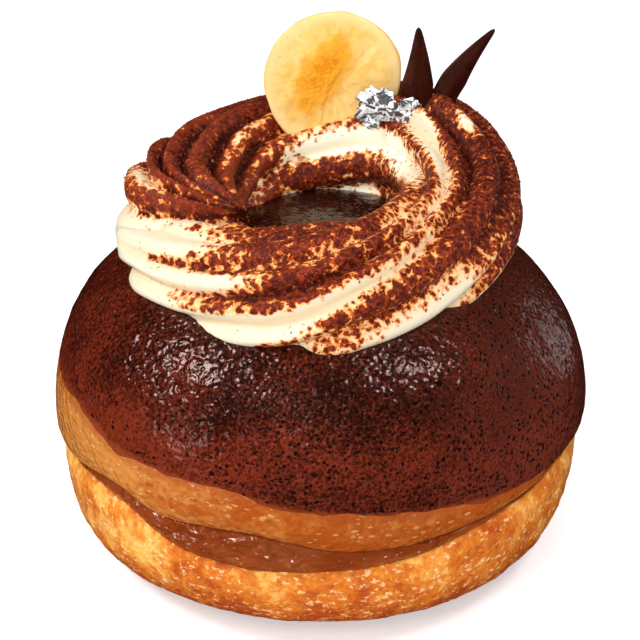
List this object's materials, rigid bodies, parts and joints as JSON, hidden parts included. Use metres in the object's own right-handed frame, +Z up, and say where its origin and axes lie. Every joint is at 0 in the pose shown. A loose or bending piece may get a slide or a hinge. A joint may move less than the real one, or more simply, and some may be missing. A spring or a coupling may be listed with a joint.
{
  "type": "filled doughnut",
  "caption": "Round doughnut cut across over a caramel filling, its glazed dome topped with a piped ring of cream, a banana slice, chocolate shards and silver leaf.",
  "frame": {"origin": "middle of the flat spot under the doughnut", "axes": "+Z up, the pictured front at -Y, +X to the right of the picture"},
  "size_m": [0.101, 0.1012, 0.099],
  "materials": {
    "crust": "dry fried crust, satin, with fine blisters and pale specks",
    "caramel": "wet glossy filling",
    "glazed_dough": "dark brown satin glaze over tan dough",
    "cream": "soft piped cream dusted with cocoa",
    "banana": "moist fruit flesh",
    "chocolate": "dark satin",
    "silver_leaf": "crumpled bright foil"
  },
  "bodies": {
    "root": {"bun_base": "crust", "caramel_filling": "caramel", "bun_top": "glazed_dough", "cream_ring": "cream", "banana_slice": "banana", "chocolate_shard_1": "chocolate", "chocolate_shard_2": "chocolate", "silver_leaf_1": "silver_leaf", "silver_leaf_2": "silver_leaf"}
  },
  "joints": []
}
